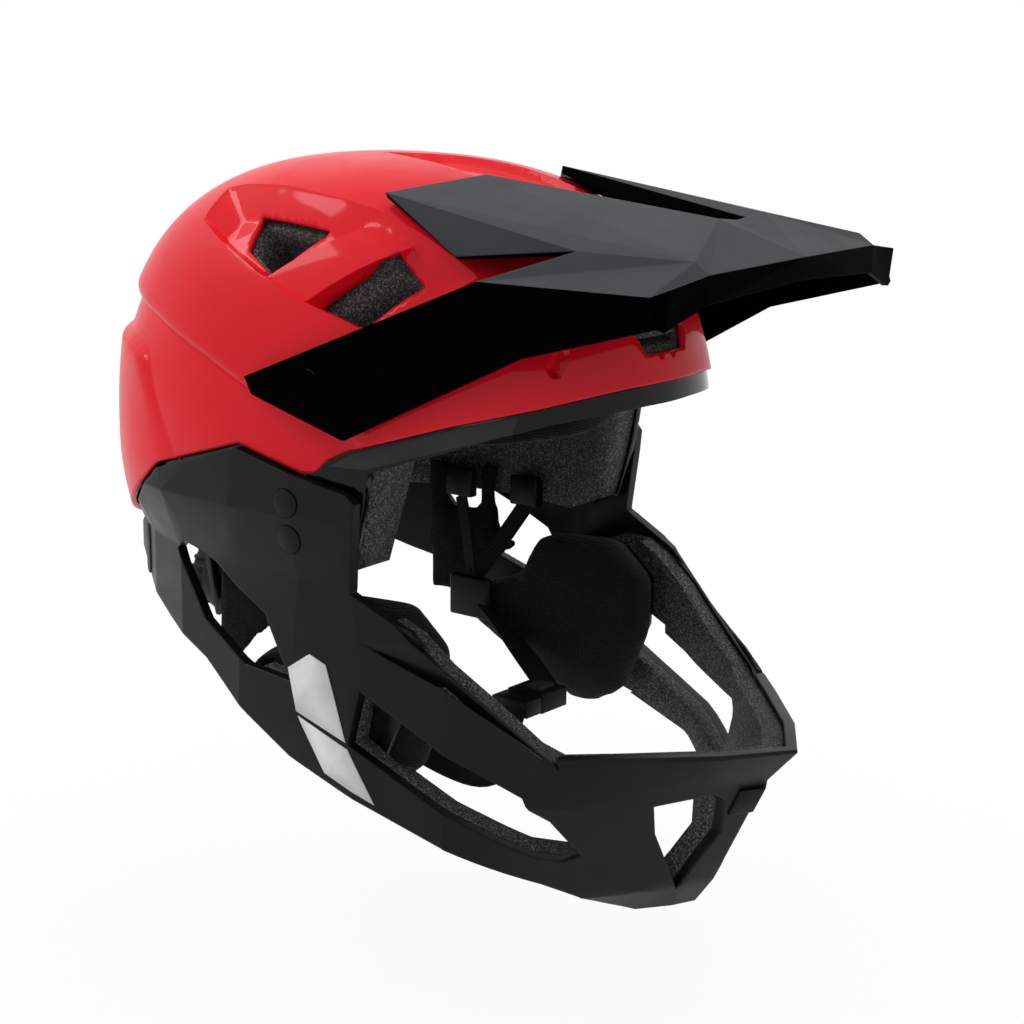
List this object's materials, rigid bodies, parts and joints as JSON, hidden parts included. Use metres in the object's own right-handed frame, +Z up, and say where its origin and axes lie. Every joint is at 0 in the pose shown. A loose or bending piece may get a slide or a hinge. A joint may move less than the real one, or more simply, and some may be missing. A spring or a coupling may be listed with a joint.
{
  "type": "full face bike helmet",
  "caption": "Full face downhill bike helmet with a removable chin bar, a tilting visor and a dial-adjusted head cradle.",
  "frame": {"origin": "centre of the head that the helmet is made for, as worn", "axes": "the face looks along -Y, the rider's right side is -X, +Z is up"},
  "size_m": [0.222, 0.3507, 0.3073],
  "materials": {
    "red_shell": "glossy in-mould polycarbonate, red",
    "black_gloss": "glossy black polycarbonate",
    "black_matte": "matte black moulded plastic",
    "visor_grey": "satin dark grey plastic",
    "grip_grey": "matte dark grey strip",
    "band_white": "pale grey printed band, left bare",
    "foam_black": "expanded polystyrene, black with grey speckle",
    "fabric_black": "ribbed black knit over foam",
    "webbing": "black polyester webbing",
    "steel": "brushed steel",
    "nylon": "black moulded nylon"
  },
  "bodies": {
    "helmet": {"shell_upper": "red_shell", "shell_lower": "black_gloss", "brow_rim": "black_gloss", "brow_grip_strips": "grip_grey", "eps_liner": "foam_black", "brow_pad": "fabric_black", "crown_pads": "fabric_black", "ear_pads": "fabric_black", "visor_pivot_pins": "nylon", "temple_pins": "steel", "latch_pins": "steel", "visor_bracket": "nylon", "visor_thumb_screw": "nylon", "strap_left": "webbing", "strap_right": "webbing", "strap_anchors": "nylon", "strap_dividers": "nylon", "buckle_base": "nylon", "buckle_tongue": "nylon"},
    "chin_bar": {"chin_bar_shell": "black_matte", "chin_bar_foam": "foam_black", "side_bands": "band_white", "chin_block": "black_matte", "temple_plugs": "black_gloss", "button_springs": "steel", "cheek_pad_left": "fabric_black", "cheek_pad_right": "fabric_black", "pad_carrier_left": "nylon", "pad_carrier_right": "nylon"},
    "button_left": {"release_button_left": "nylon"},
    "button_right": {"release_button_right": "nylon"},
    "visor": {"visor": "visor_grey", "visor_stay": "nylon"},
    "cradle": {"cradle": "nylon", "dial_housing": "nylon", "rear_pad": "fabric_black"},
    "dial": {"dial_knob": "nylon"},
    "buckle_release": {"buckle_button": "nylon"}
  },
  "joints": [
    {"name": "chin_bar_slide", "type": "slide", "parent": "helmet", "child": "chin_bar", "axis": [0, 0, -1], "range_m": [0, 0.04]},
    {"name": "visor_tilt", "type": "hinge", "parent": "helmet", "child": "visor", "pos_m": [0, -0.036, 0.04318], "axis": [-1, 0, 0], "range_deg": [0, 9]},
    {"name": "cradle_slide", "type": "slide", "parent": "helmet", "child": "cradle", "axis": [0, -1, 0], "range_m": [0, 0.01]},
    {"name": "dial_turn", "type": "hinge", "parent": "cradle", "child": "dial", "pos_m": [0, 0.115, -0.08128], "axis": [0, 1, 0], "range_deg": [0, 360]},
    {"name": "button_left_press", "type": "slide", "parent": "chin_bar", "child": "button_left", "axis": [-0.8331, -0.5532, 0], "range_m": [0, 0.0015], "stiffness_N_per_m": 800},
    {"name": "button_right_press", "type": "slide", "parent": "chin_bar", "child": "button_right", "axis": [0.8331, -0.5532, 0], "range_m": [0, 0.0015], "stiffness_N_per_m": 800},
    {"name": "buckle_press", "type": "slide", "parent": "helmet", "child": "buckle_release", "axis": [0, 0, -1], "range_m": [0, 0.002], "stiffness_N_per_m": 600}
  ],
  "couplings": [
    {"joint": "dial_turn", "follows": "cradle_slide", "rad_per_m": 628.3}
  ]
}
